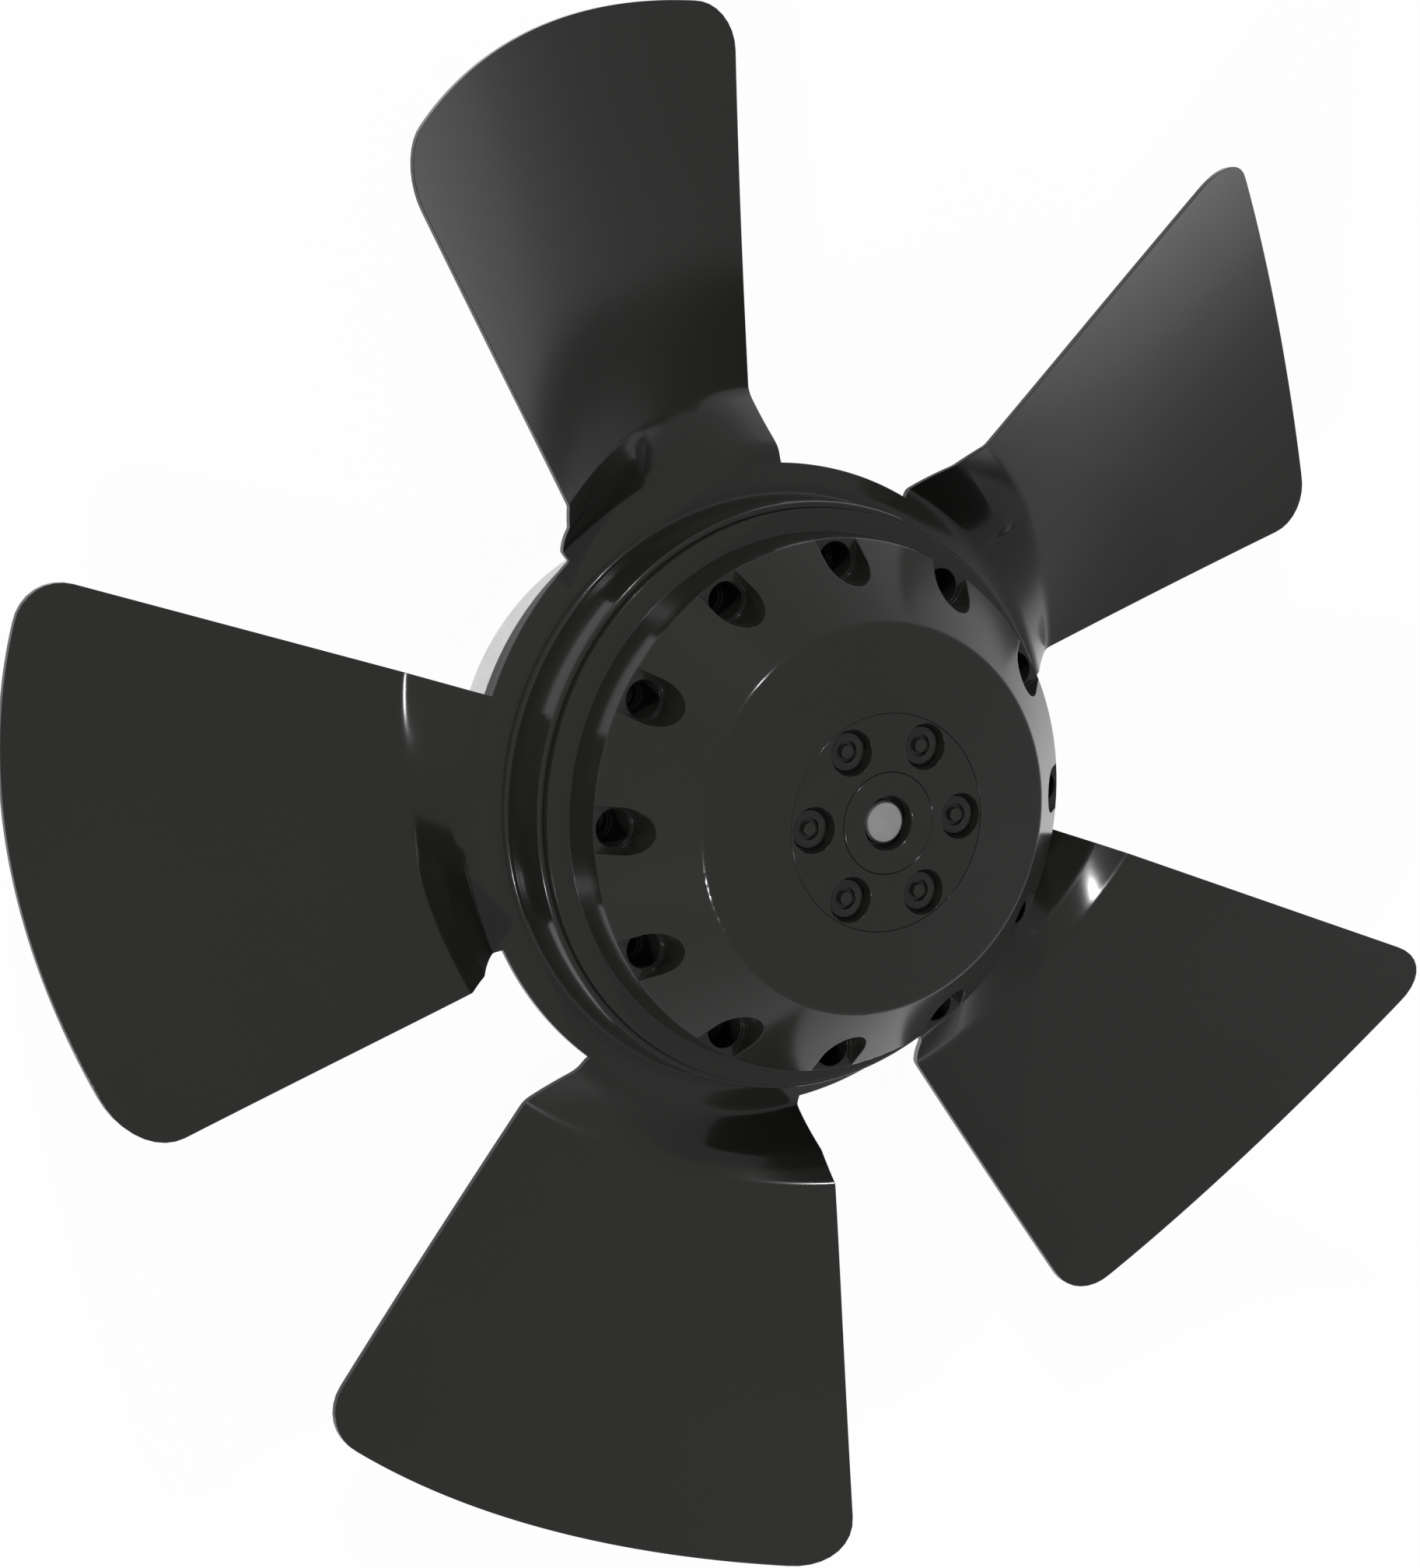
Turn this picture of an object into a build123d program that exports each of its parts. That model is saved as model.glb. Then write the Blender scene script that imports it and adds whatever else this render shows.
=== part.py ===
"""Axial fan impeller on an external-rotor motor.

Five pressed blades and their ring are one sheet, pushed onto the rotor bell. The bell turns with the
shaft round a fixed stator, whose rear face bolts to the fan's mount. Millimetres throughout. The
origin is the centre of that rear face, +Z is the spin axis and points to the front, and +X is the
centre line of the first blade.
"""
from build123d import *
from math import cos, hypot, radians, sin, tan
import os

# ---- whole fan ----
TIP_RADIUS = 150.0           # reach of a blade on its centre line
BLADES = 5
FACE_HEIGHT = 84.0           # rear face to the front of the hub, at the edge of the hub disc

# ---- impeller: one pressed sheet ----
SHEET = 1.2
BLADE_PITCH = 25.8           # degrees, slope of a blade across its width
BLADE_ROOT_Z = 40.1          # height of the centre line at the root, the middle and the tip
BLADE_MIDDLE_Z = 37.85
BLADE_TIP_Z = 37.3
ROOT_CAMBER = 0.36           # dish of the blade, 20 degrees off its centre line
TIP_CAMBER = 11.2
CAMBER_ANGLE = 20.0
ROOT_STATION = 70.0          # where the half widths below are taken, from the axis
TIP_STATION = 133.0
RAISED_ROOT_HALF = 29.7      # half widths to the raised edge
RAISED_TIP_HALF = 46.4
LOW_ROOT_HALF = 25.3         # half widths to the low edge
LOW_TIP_HALF = 45.0
TIP_ARC = 121.3              # radius of the tip's outline
RAISED_CORNER = 10.7         # corner radii of the tip
LOW_CORNER = 9.1
RAMP_OFFSET = 2.6            # each blade's root is a ramp between two folds, off the ring's edge
RAMP_WIDTH = 9.6
FOLD_BLEND = 0.2             # share of the ramp that each fold's curve takes
RING_LAND = 2.1              # level part of the ring, from the collar to its step
RING_LIP = 4.1               # and on from the step to the ring's edge between two blades
RING_EDGE_Z = 40.3
RING_FALL = 0.25             # slope of the sheet from the ring's edge to the ramp
SEAM_OVERLAP = 0.8           # how far the blades' roots reach into the ring
SEAM_STEP = 0.1              # and how far under its top
COLLAR_TOP_Z = 54.0
COLLAR_FOOT_Z = 42.4
COLLAR_TAPER = 0.45          # how far the collar widens on its way down
FOOT_ROUND = 0.8             # hollow curve at the collar's foot
STEP_ROUND = 1.5             # and the round of the ring beyond it
FOLD_ROWS = 12               # rows of the sheet's surface across the ramp, and on out to the tip
BLADE_ROWS = 9
SPAN_ANGLE = 32              # degrees that the surface reaches either side of the centre line
SPAN_STEP = 4
SURFACE_FIT = 0.05

# ---- rotor bell: one casting ----
BELL_RADIUS = 55.0
BELL_BOTTOM_Z = 22.0
BELL_WALL = 3.0
SHOULDER_Z = 55.5            # where the bell steps in above the impeller
SHOULDER_RISE = 0.9
CROWN_RADIUS = 50.3          # upper cup, at its rim
CROWN_DRAFT = 0.65
CROWN_RIM_Z = 64.7
CONE_TOP_RADIUS = 36.2
CONE_TOP_DROP = 3.6          # fall of the front face from the hub disc to its edge
CONE_ROUND = 1.8
RIM_ROUND = 0.8
VENTS = 12
VENT_HALF_WIDTH = 4.4
VENT_CENTRE = 46.6           # centre of the pocket's round inner end
VENT_HOLE = 3.5
VENT_HOLE_CENTRE = 46.2
VENT_HOLE_DEPTH = 7.2        # below the pocket's floor; a smaller bore goes on through
VENT_BORE = 2.4
CROWN_ROOF_Z = 56.0          # underside of the crown where the vents pass through it

# ---- hub ----
DISC_RADIUS = 20.25
DISC_THICKNESS = 3.0
BUSH_RADIUS = 9.4
BUSH_RISE = 0.5              # bush above the disc's edge
BUSH_MOUTH = 5.05            # wider bore round the end of the shaft
BUSH_MOUTH_DEPTH = 3.2
SEAM_CHAMFER = 0.2           # broken edges where the hub's pieces meet
RIVETS = 6
RIVET_CIRCLE = 15.6
RIVET_HEAD = 3.7
RIVET_HEAD_HEIGHT = 1.0
RIVET_WEB = 0.3              # thickness left under the hollow
RIVET_HOLLOW = 2.05          # hollow round the pin in the middle of the head
RIVET_PIN = 1.25
RIVET_RECESS = 4.3
RIVET_DEPTH = 2.5
RIVET_SHANK = 2.0

# ---- shaft and bearings (8 x 22 x 7) ----
SHAFT_RADIUS = 4.0
SHAFT_SINK = 1.4             # shaft's end below the front of the bush
BEARING_RADIUS = 11.0
BEARING_WIDTH = 7.0
BALLS = 7
BALL_RADIUS = 1.95
BALL_GAP = 0.05
RACE_WALL = 1.75
SHIELD = 0.4
REAR_BEARING_Z = 9.0
FRONT_BEARING_Z = 56.0

# ---- motor ----
STACK_BOTTOM_Z = 24.0
STACK_HEIGHT = 28.0
ROTOR_RING = 8.6             # width of the laminated ring in the bell
AIR_GAP = 0.4
TEETH = 12
TOOTH_WIDTH = 5.0
TOOTH_TIP = 3.0
SLOT_MOUTH = 2.5
YOKE_RADIUS = 19.0
COIL_DEPTH = 2.2             # build of a coil beside its tooth
COIL_HEAD = 4.5
PROTECTOR_WIDTH = 6.0
PROTECTOR_LENGTH = 14.0
PROTECTOR_HEIGHT = 4.0
INSULATOR = 1.5

# ---- stator flange: one casting ----
FLANGE_RADIUS = 47.3
FLANGE_WALL = 3.0
FLANGE_HEIGHT = 20.0
FLANGE_PLATE = 4.0
TUBE_RADIUS = 13.5
TUBE_STEP = 2.0              # shoulder that the stator core sits on
TUBE_TOP_Z = 66.0
RIBS = 8
RIB_WIDTH = 3.0
RIB_HEIGHT = 10.0
BOLTS = 4
BOLT_CIRCLE = 38.0
BOLT_CORE_RADIUS = 1.65      # M4 tapping size
BOLT_DEPTH = 8.0
BOLT_BOSS = 4.5
GROMMET_CIRCLE = 31.0
GROMMET_RADIUS = 5.0
GROMMET_BORE = 2.6

RING_STEP = BELL_RADIUS + SHEET + RING_LAND
RING_EDGE = RING_STEP + RING_LIP
RAMP_START = RING_EDGE + RAMP_OFFSET
RAMP_END = RAMP_START + RAMP_WIDTH
CORE_RADIUS = BELL_RADIUS - BELL_WALL
STATOR_RADIUS = CORE_RADIUS - ROTOR_RING - AIR_GAP
STACK_TOP_Z = STACK_BOTTOM_Z + STACK_HEIGHT
CONE_TOP_Z = FACE_HEIGHT - CONE_TOP_DROP
DISC_SEAT_Z = FACE_HEIGHT - DISC_THICKNESS
BELL_ROOF_Z = DISC_SEAT_Z - 4.0
BUSH_TOP_Z = FACE_HEIGHT + BUSH_RISE
FRONT_SHOULDER_Z = FRONT_BEARING_Z
REAR_SHOULDER_Z = REAR_BEARING_Z + BEARING_WIDTH + 1.0
TUBE_BORE = BEARING_RADIUS - 1.5
INNER_RACE = SHAFT_RADIUS + RACE_WALL
OUTER_RACE = BEARING_RADIUS - RACE_WALL
BALL_CIRCLE = (INNER_RACE + OUTER_RACE) / 2


# ---- helpers ----
def turned(points):
    """Solid of revolution about Z from an outline of (radius, height) points."""
    outline = Plane.XZ * make_face(Polyline(*points, close=True))
    return revolve(outline, Axis.Z)


def rounded(points, rounds):
    """Flat outline of (radius, height) points; each (corner, radius) in rounds is filleted."""
    outline = make_face(Polyline(*points, close=True))
    for (x, y), size in rounds:
        corner = min(outline.vertices(), key=lambda v: hypot(v.X - x, v.Y - y))
        outline = fillet(corner, size)
    return outline


def tube(outer, inner, bottom, top):
    """Plain ring between two heights."""
    return turned([(inner, bottom), (outer, bottom), (outer, top), (inner, top)])


def disc(radius, bottom, top, x=0.0, y=0.0):
    """Upright cylinder between two heights."""
    return Pos(x, y, bottom) * extrude(Circle(radius), amount=top - bottom)


def around(shape, count, start=0.0):
    """Copies of a shape at equal steps round Z."""
    return [Rot(0, 0, start + 360.0 * i / count) * shape for i in range(count)]


def save(name, *solids):
    """Write one node."""
    pieces = []
    for solid in solids:
        pieces.extend(solid.solids())
    shape = pieces[0] if len(pieces) == 1 else Compound(children=pieces)
    shape.label = name
    export_step(shape, f"parts/{name}.step")


# ---- impeller ----
def centre_height(radius):
    """Height of the blade's centre line: a parabola through root, middle and tip."""
    middle = (RAMP_END + TIP_RADIUS) / 2
    v = (radius - middle) / (TIP_RADIUS - middle)
    slope = (BLADE_TIP_Z - BLADE_ROOT_Z) / 2
    bend = (BLADE_TIP_Z + BLADE_ROOT_Z) / 2 - BLADE_MIDDLE_Z
    return BLADE_MIDDLE_Z + slope * v + bend * v * v


def blade_height(radius, angle):
    """Top of a blade: pitch across its width, and a dish that grows towards the tip."""
    share = (radius - RAMP_END) / (TIP_RADIUS - RAMP_END)
    camber = ROOT_CAMBER + (TIP_CAMBER - ROOT_CAMBER) * share
    rise = radius * radians(angle) * tan(radians(BLADE_PITCH))
    return centre_height(radius) + rise + camber * (angle / CAMBER_ANGLE) ** 2


def soft_ramp(share):
    """0 to 1 in a straight line, with a rounded corner at either end."""
    if share <= -FOLD_BLEND:
        return 0.0
    if share < FOLD_BLEND:
        return (share + FOLD_BLEND) ** 2 / (4 * FOLD_BLEND)
    if share <= 1 - FOLD_BLEND:
        return share
    if share < 1 + FOLD_BLEND:
        return 1 - (1 + FOLD_BLEND - share) ** 2 / (4 * FOLD_BLEND)
    return 1.0


def sheet_height(radius, angle):
    """Top of the sheet from inside the ring's edge out past the tip."""
    ring = RING_EDGE_Z - SEAM_STEP - RING_FALL * max(radius - RING_EDGE, 0)
    share = soft_ramp((radius - RAMP_START) / RAMP_WIDTH)
    return ring + (blade_height(radius, angle) - ring) * share


def half_width(x, root_half, tip_half):
    """Distance from a blade's centre line to one straight edge, x out from the axis."""
    return root_half + (tip_half - root_half) * (x - ROOT_STATION) / (TIP_STATION - ROOT_STATION)


def blade_outline():
    """Flat outline of one blade and its root, centred on +X."""
    inner = 0.7 * RING_EDGE
    outer = 1.1 * TIP_RADIUS
    raised = [(x, half_width(x, RAISED_ROOT_HALF, RAISED_TIP_HALF)) for x in (inner, outer)]
    low = [(x, -half_width(x, LOW_ROOT_HALF, LOW_TIP_HALF)) for x in (outer, inner)]
    wedge = make_face(Polyline(*raised, *low, close=True))
    shape = wedge & Pos(TIP_RADIUS - TIP_ARC, 0) * Circle(TIP_ARC)
    low_corner = min(shape.vertices(), key=lambda v: v.Y)
    shape = fillet(low_corner, LOW_CORNER)
    raised_corner = max(shape.vertices(), key=lambda v: v.Y)
    shape = fillet(raised_corner, RAISED_CORNER)
    return shape - Circle(RING_EDGE - SEAM_OVERLAP)


def blade():
    """One blade with the ramp that joins it to the ring."""
    thickness = SHEET / cos(radians(BLADE_PITCH))
    fold_end = RAMP_END + FOLD_BLEND * RAMP_WIDTH
    start = RING_EDGE - 2 * SEAM_OVERLAP
    reach = 1.06 * TIP_RADIUS
    radii = [start + (fold_end - start) * i / FOLD_ROWS for i in range(FOLD_ROWS)]
    radii += [fold_end + (reach - fold_end) * i / BLADE_ROWS for i in range(BLADE_ROWS + 1)]
    angles = range(-SPAN_ANGLE, SPAN_ANGLE + 1, SPAN_STEP)
    grid = []
    for radius in radii:
        line = []
        for angle in angles:
            x = radius * cos(radians(angle))
            y = radius * sin(radians(angle))
            line.append(Vector(x, y, sheet_height(radius, angle)))
        grid.append(line)
    top = Face.make_surface_from_array_of_points(grid, tol=SURFACE_FIT)
    slab = extrude(top, amount=thickness, dir=(0, 0, -1))
    return slab & extrude(blade_outline(), amount=2 * FACE_HEIGHT)


def ring():
    """Collar on the bell, and the ring that carries the blades."""
    inner = BELL_RADIUS
    top = (inner + SHEET, COLLAR_TOP_Z)
    foot = (inner + SHEET + COLLAR_TAPER, COLLAR_FOOT_Z)
    step = (RING_STEP, COLLAR_FOOT_Z)
    points = [
        (inner, COLLAR_TOP_Z),
        (inner, COLLAR_FOOT_Z - SHEET),
        (RING_STEP, COLLAR_FOOT_Z - SHEET),
        (RING_EDGE, RING_EDGE_Z - SHEET),
        (RING_EDGE, RING_EDGE_Z),
        step,
        foot,
        top,
    ]
    rounds = [(top, SHEET / 3), (foot, FOOT_ROUND), (step, STEP_ROUND)]
    return revolve(Plane.XZ * rounded(points, rounds), Axis.Z)


def impeller():
    """Ring and blades, fused: one pressed sheet."""
    shape = ring()
    for copy in around(blade(), BLADES):
        shape = shape + copy
    return shape


# ---- rotor ----
def bell_outside():
    """Outer form of the bell, as a solid."""
    cone_top = (CONE_TOP_RADIUS, CONE_TOP_Z)
    rim = (CROWN_RADIUS, CROWN_RIM_Z)
    points = [
        (0, BELL_BOTTOM_Z),
        (BELL_RADIUS, BELL_BOTTOM_Z),
        (BELL_RADIUS, SHOULDER_Z),
        (CROWN_RADIUS + CROWN_DRAFT, SHOULDER_Z + SHOULDER_RISE),
        rim,
        cone_top,
        (DISC_RADIUS, FACE_HEIGHT),
        (0, FACE_HEIGHT),
    ]
    outline = rounded(points, [(cone_top, CONE_ROUND), (rim, RIM_ROUND)])
    return revolve(Plane.XZ * outline, Axis.Z)


def bell_inside():
    """Room for the core, the windings and the bearing tube."""
    crown = CROWN_RADIUS - 2.3
    vent_wall = VENT_CENTRE - VENT_HALF_WIDTH - 2.4
    return turned([
        (0, BELL_BOTTOM_Z),
        (CORE_RADIUS, BELL_BOTTOM_Z),
        (CORE_RADIUS, STACK_TOP_Z),
        (crown, STACK_TOP_Z),
        (crown, CROWN_ROOF_Z),
        (vent_wall, CROWN_ROOF_Z),
        (vent_wall, BELL_ROOF_Z - 7),
        (CONE_TOP_RADIUS - 6, BELL_ROOF_Z),
        (BUSH_RADIUS + 2.6, BELL_ROOF_Z),
        (BUSH_RADIUS + 2.6, BELL_ROOF_Z - 3),
        (0, BELL_ROOF_Z - 3),
    ])


def vent():
    """One air vent: a U-shaped pocket in the cone and a stepped round hole through its floor."""
    reach = BELL_RADIUS - VENT_CENTRE
    pocket = Circle(VENT_HALF_WIDTH) + Pos(reach / 2, 0) * Rectangle(reach, 2 * VENT_HALF_WIDTH)
    pocket = Pos(VENT_CENTRE, 0, CROWN_RIM_Z) * extrude(pocket, amount=FACE_HEIGHT - CROWN_RIM_Z)
    step_z = CROWN_RIM_Z - VENT_HOLE_DEPTH
    hole = disc(VENT_HOLE, step_z, CROWN_RIM_Z + 1, VENT_HOLE_CENTRE)
    bore = disc(VENT_BORE, CROWN_ROOF_Z - 1, step_z + 1, VENT_HOLE_CENTRE)
    return pocket + hole + bore


def rotor_bell():
    """Cast bell: shell, crown with its vents, and the seat of the hub disc."""
    shape = bell_outside() - bell_inside()
    shape -= disc(DISC_RADIUS, DISC_SEAT_Z, FACE_HEIGHT + 1)
    shape -= disc(BUSH_RADIUS, BELL_BOTTOM_Z, FACE_HEIGHT)
    for copy in around(vent(), VENTS):
        shape -= copy
    for copy in around(disc(RIVET_SHANK, BELL_ROOF_Z - 1, FACE_HEIGHT, RIVET_CIRCLE), RIVETS):
        shape -= copy
    return shape


def rotor_core():
    """Laminated ring inside the bell, with a skewed-slot cage left as a plain ring."""
    return tube(CORE_RADIUS, STATOR_RADIUS + AIR_GAP, STACK_BOTTOM_Z, STACK_TOP_Z)


def hub_disc():
    """Disc in the front of the bell, with a recess for each rivet head."""
    shape = turned([
        (BUSH_RADIUS, DISC_SEAT_Z),
        (DISC_RADIUS, DISC_SEAT_Z),
        (DISC_RADIUS, FACE_HEIGHT - SEAM_CHAMFER),
        (DISC_RADIUS - SEAM_CHAMFER, FACE_HEIGHT),
        (BUSH_RADIUS + SEAM_CHAMFER, FACE_HEIGHT + 0.8 * BUSH_RISE),
        (BUSH_RADIUS, FACE_HEIGHT + 0.8 * BUSH_RISE - SEAM_CHAMFER),
    ])
    recess = disc(RIVET_RECESS, FACE_HEIGHT - RIVET_DEPTH, FACE_HEIGHT + 1, RIVET_CIRCLE)
    hole = disc(RIVET_SHANK, DISC_SEAT_Z - 1, FACE_HEIGHT, RIVET_CIRCLE)
    for copy in around(recess, RIVETS) + around(hole, RIVETS):
        shape -= copy
    return shape


def hub_rivets():
    """Rivets through the disc and the bell, each with a pin in the hollow of its head."""
    head_z = FACE_HEIGHT - RIVET_DEPTH
    head_top = head_z + RIVET_HEAD_HEIGHT
    rivet = turned([
        (0, BELL_ROOF_Z - 1),
        (RIVET_SHANK + 1, BELL_ROOF_Z - 1),
        (RIVET_SHANK + 1, BELL_ROOF_Z),
        (RIVET_SHANK, BELL_ROOF_Z),
        (RIVET_SHANK, head_z),
        (RIVET_HEAD, head_z),
        (RIVET_HEAD, head_top - 0.2),
        (RIVET_HEAD - 0.2, head_top),
        (RIVET_HOLLOW, head_top),
        (RIVET_HOLLOW, head_z + RIVET_WEB),
        (RIVET_PIN, head_z + RIVET_WEB),
        (RIVET_PIN, head_top + 0.3),
        (0, head_top + 0.3),
    ])
    return around(Pos(RIVET_CIRCLE, 0, 0) * rivet, RIVETS)


def hub_bush():
    """Bush that ties the shaft to the bell and sits on the front bearing."""
    bottom = FRONT_BEARING_Z + BEARING_WIDTH
    return turned([
        (SHAFT_RADIUS, bottom),
        (INNER_RACE, bottom),
        (INNER_RACE, TUBE_TOP_Z + 2),
        (BUSH_RADIUS, TUBE_TOP_Z + 4),
        (BUSH_RADIUS, BUSH_TOP_Z - SEAM_CHAMFER),
        (BUSH_RADIUS - SEAM_CHAMFER, BUSH_TOP_Z),
        (BUSH_MOUTH + SEAM_CHAMFER, BUSH_TOP_Z),
        (BUSH_MOUTH, BUSH_TOP_Z - SEAM_CHAMFER),
        (BUSH_MOUTH, BUSH_TOP_Z - BUSH_MOUTH_DEPTH),
        (SHAFT_RADIUS, BUSH_TOP_Z - BUSH_MOUTH_DEPTH),
    ])


def shaft():
    """Shaft with chamfered ends and the groove of its circlip."""
    bottom = FLANGE_PLATE + 1.5
    groove = REAR_BEARING_Z - 1.6
    top = BUSH_TOP_Z - SHAFT_SINK
    return turned([
        (0, bottom),
        (SHAFT_RADIUS - 0.5, bottom),
        (SHAFT_RADIUS, bottom + 0.5),
        (SHAFT_RADIUS, groove),
        (SHAFT_RADIUS - 0.5, groove),
        (SHAFT_RADIUS - 0.5, groove + 0.9),
        (SHAFT_RADIUS, groove + 0.9),
        (SHAFT_RADIUS, top - 0.4),
        (SHAFT_RADIUS - 0.4, top),
        (0, top),
    ])


def shaft_circlip():
    """Open ring in the shaft's groove."""
    bottom = REAR_BEARING_Z - 1.6
    ring_shape = tube(SHAFT_RADIUS + 1.6, SHAFT_RADIUS - 0.5, bottom, bottom + 0.9)
    return ring_shape - Pos(SHAFT_RADIUS, 0, bottom) * Box(8, 3, 4)


def shaft_washer():
    """Washer between the circlip and the rear bearing."""
    return tube(INNER_RACE, SHAFT_RADIUS, REAR_BEARING_Z - 0.7, REAR_BEARING_Z)


def spacer_sleeve():
    """Sleeve that holds the two inner rings apart."""
    return tube(INNER_RACE - 0.3, SHAFT_RADIUS, REAR_BEARING_Z + BEARING_WIDTH, FRONT_BEARING_Z)


# ---- bearings ----
def race(outer, inner, groove_side, bottom):
    """Ring of a bearing, with the balls' groove on one side."""
    groove = BALL_RADIUS + BALL_GAP
    ring_shape = tube(outer, inner, bottom, bottom + BEARING_WIDTH)
    centre = Plane.XZ * Pos(BALL_CIRCLE, bottom + BEARING_WIDTH / 2) * Circle(groove)
    return ring_shape - revolve(centre, Axis.Z) if groove_side else ring_shape


def balls(bottom):
    """Balls of one bearing."""
    ball = Pos(BALL_CIRCLE, 0, bottom + BEARING_WIDTH / 2) * Sphere(BALL_RADIUS)
    return around(ball, BALLS)


def shields(bottom):
    """Two thin covers held by the outer ring, clear of the inner one."""
    top = bottom + BEARING_WIDTH
    inner = INNER_RACE + 0.3
    return [tube(OUTER_RACE, inner, bottom, bottom + SHIELD), tube(OUTER_RACE, inner, top - SHIELD, top)]


def preload_spring():
    """Dished spring washer behind the rear bearing."""
    bottom = REAR_BEARING_Z + BEARING_WIDTH
    top = REAR_SHOULDER_Z
    return turned([
        (BEARING_RADIUS - 0.2, bottom),
        (BEARING_RADIUS - 0.2, bottom + 0.4),
        (TUBE_BORE + 0.2, top),
        (TUBE_BORE + 0.2, top - 0.4),
    ])


def bearing_snap_ring():
    """Open ring that keeps the front bearing in its tube."""
    bottom = FRONT_BEARING_Z + BEARING_WIDTH
    ring_shape = tube(BEARING_RADIUS + 0.6, BEARING_RADIUS - 1.2, bottom, bottom + 1)
    return ring_shape - Pos(BEARING_RADIUS, 0, bottom) * Box(6, 4, 4)


# ---- stator ----
def lamination(bore, shrink=0.0):
    """Outline of the stator core; a shrunk one is the insulator's."""
    spoke = Pos((bore + STATOR_RADIUS) / 2, 0) * Rectangle(STATOR_RADIUS - bore, TOOTH_WIDTH - 2 * shrink)
    rim = Circle(STATOR_RADIUS - shrink) - Circle(STATOR_RADIUS - TOOTH_TIP + shrink)
    mouth = Pos(STATOR_RADIUS, 0) * Rectangle(4 * TOOTH_TIP, SLOT_MOUTH + 2 * shrink)
    for copy in around(mouth, TEETH, 180 / TEETH):
        rim -= copy
    shape = Circle(YOKE_RADIUS - shrink) + rim
    for copy in around(spoke, TEETH):
        shape += copy & Circle(STATOR_RADIUS - shrink)
    return shape - Circle(bore)


def stator_core():
    """Stack of laminations pressed on the bearing tube."""
    return Pos(0, 0, STACK_BOTTOM_Z) * extrude(lamination(TUBE_RADIUS), amount=STACK_HEIGHT)


def insulator(bottom):
    """End insulator between the core and the coils' heads."""
    return Pos(0, 0, bottom) * extrude(lamination(TUBE_RADIUS + TUBE_STEP + 0.3, 0.15), amount=INSULATOR)


def winding_coils():
    """One coil round each tooth."""
    inner = YOKE_RADIUS + 2.4
    length = STATOR_RADIUS - TOOTH_TIP - 1.2 - inner
    width = TOOTH_WIDTH + 0.2
    height = STACK_HEIGHT + 2 * INSULATOR
    outside = RectangleRounded(width + 2 * COIL_DEPTH, height + 2 * COIL_HEAD, 2.6)
    loop = outside - Rectangle(width, height)
    middle = STACK_BOTTOM_Z + STACK_HEIGHT / 2
    coil = Pos(inner, 0, middle) * extrude(Plane.YZ * loop, amount=length)
    return around(coil, TEETH)


def stator_flange():
    """Cast flange: plate, side wall, bearing tube, ribs and tapped bosses."""
    shape = turned([
        (BEARING_RADIUS, 0),
        (FLANGE_RADIUS, 0),
        (FLANGE_RADIUS, FLANGE_HEIGHT),
        (FLANGE_RADIUS - FLANGE_WALL, FLANGE_HEIGHT),
        (FLANGE_RADIUS - FLANGE_WALL, FLANGE_PLATE),
        (TUBE_RADIUS + TUBE_STEP, FLANGE_PLATE),
        (TUBE_RADIUS + TUBE_STEP, STACK_BOTTOM_Z),
        (TUBE_RADIUS, STACK_BOTTOM_Z),
        (TUBE_RADIUS, TUBE_TOP_Z),
        (BEARING_RADIUS, TUBE_TOP_Z),
        (BEARING_RADIUS, FRONT_SHOULDER_Z),
        (TUBE_BORE, FRONT_SHOULDER_Z),
        (TUBE_BORE, REAR_SHOULDER_Z),
        (BEARING_RADIUS, REAR_SHOULDER_Z),
    ])
    rib_length = FLANGE_RADIUS - TUBE_RADIUS - FLANGE_WALL
    rib = Pos(TUBE_RADIUS + 1 + rib_length / 2, 0, RIB_HEIGHT / 2) * Box(rib_length, RIB_WIDTH, RIB_HEIGHT)
    for copy in around(rib, RIBS, 180 / RIBS):
        shape += copy
    boss = disc(BOLT_BOSS, 0, BOLT_DEPTH + 2, BOLT_CIRCLE)
    for copy in around(boss, BOLTS, 45):
        shape += copy
    for copy in around(disc(BOLT_CORE_RADIUS, -1, BOLT_DEPTH, BOLT_CIRCLE), BOLTS, 45):
        shape -= copy
    shape -= disc(GROMMET_RADIUS, -1, FLANGE_PLATE + 1, GROMMET_CIRCLE)
    groove_z = FRONT_BEARING_Z + BEARING_WIDTH
    return shape - tube(BEARING_RADIUS + 0.6, BEARING_RADIUS - 1, groove_z, groove_z + 1)


def rear_cap():
    """Pressed cap that closes the bearing tube at the back."""
    return turned([
        (0, 1.0),
        (BEARING_RADIUS, 1.0),
        (BEARING_RADIUS, 4.0),
        (BEARING_RADIUS - 1, 4.0),
        (BEARING_RADIUS - 1, 2.0),
        (0, 2.0),
    ])


def lead_grommet():
    """Rubber grommet where the leads leave the flange."""
    grommet = turned([
        (GROMMET_BORE, 0.3),
        (GROMMET_RADIUS, 0.3),
        (GROMMET_RADIUS, FLANGE_PLATE),
        (GROMMET_RADIUS + 1.5, FLANGE_PLATE),
        (GROMMET_RADIUS + 1.2, FLANGE_PLATE + 1.6),
        (GROMMET_BORE, FLANGE_PLATE + 1.6),
    ])
    return Pos(GROMMET_CIRCLE, 0, 0) * grommet


def thermal_protector():
    """Small thermal switch, tied on the coils' front heads."""
    top = STACK_TOP_Z + INSULATOR + COIL_HEAD
    body = RectangleRounded(PROTECTOR_WIDTH, PROTECTOR_LENGTH, PROTECTOR_WIDTH / 4)
    body = extrude(body, amount=PROTECTOR_HEIGHT)
    return Pos(0.7 * STATOR_RADIUS, 0, top) * body


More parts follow.
